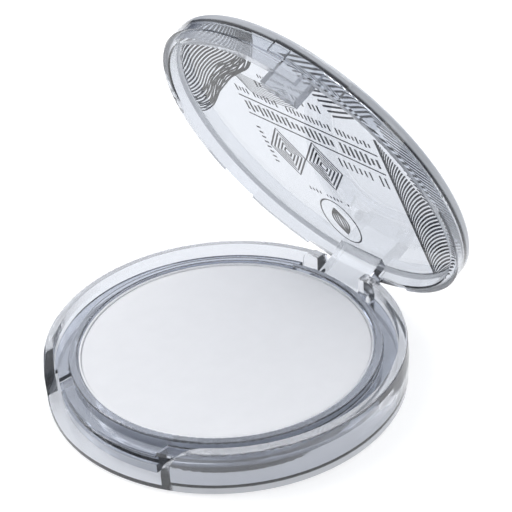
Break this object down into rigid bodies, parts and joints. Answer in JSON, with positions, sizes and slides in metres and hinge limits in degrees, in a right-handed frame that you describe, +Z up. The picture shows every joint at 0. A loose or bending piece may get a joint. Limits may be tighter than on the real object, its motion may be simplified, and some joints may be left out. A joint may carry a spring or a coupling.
{
  "type": "powder compact",
  "caption": "Clear round powder compact with a hinged snap-shut lid over a metal pan of pressed powder.",
  "frame": {"origin": "centre of the round underside", "axes": "+Z up out of the underside's centre through the powder, -Y to the front with the thumb notch and catch, +Y to the hinge, +X to the right seen from the front"},
  "size_m": [0.0732, 0.08, 0.0708],
  "materials": {
    "clear_base": "clear polished polystyrene",
    "clear_seat": "clear polished polystyrene",
    "glue": "dried clear adhesive",
    "pan_metal": "pressed bright sheet",
    "powder": "fine pressed white powder",
    "clear_lid": "clear polished polystyrene with dark printed artwork"
  },
  "bodies": {
    "base": {"base_shell": "clear_base", "seat_frame": "clear_seat", "pan_adhesive": "glue", "powder_pan": "pan_metal", "pressed_powder": "powder"},
    "lid": {"lid_shell": "clear_lid"}
  },
  "joints": [
    {"name": "lid_hinge", "type": "hinge", "parent": "base", "child": "lid", "pos_m": [0, 0.0341, 0.00405], "axis": [-1, 0, 0], "range_deg": [-62.4, 32.6]}
  ]
}
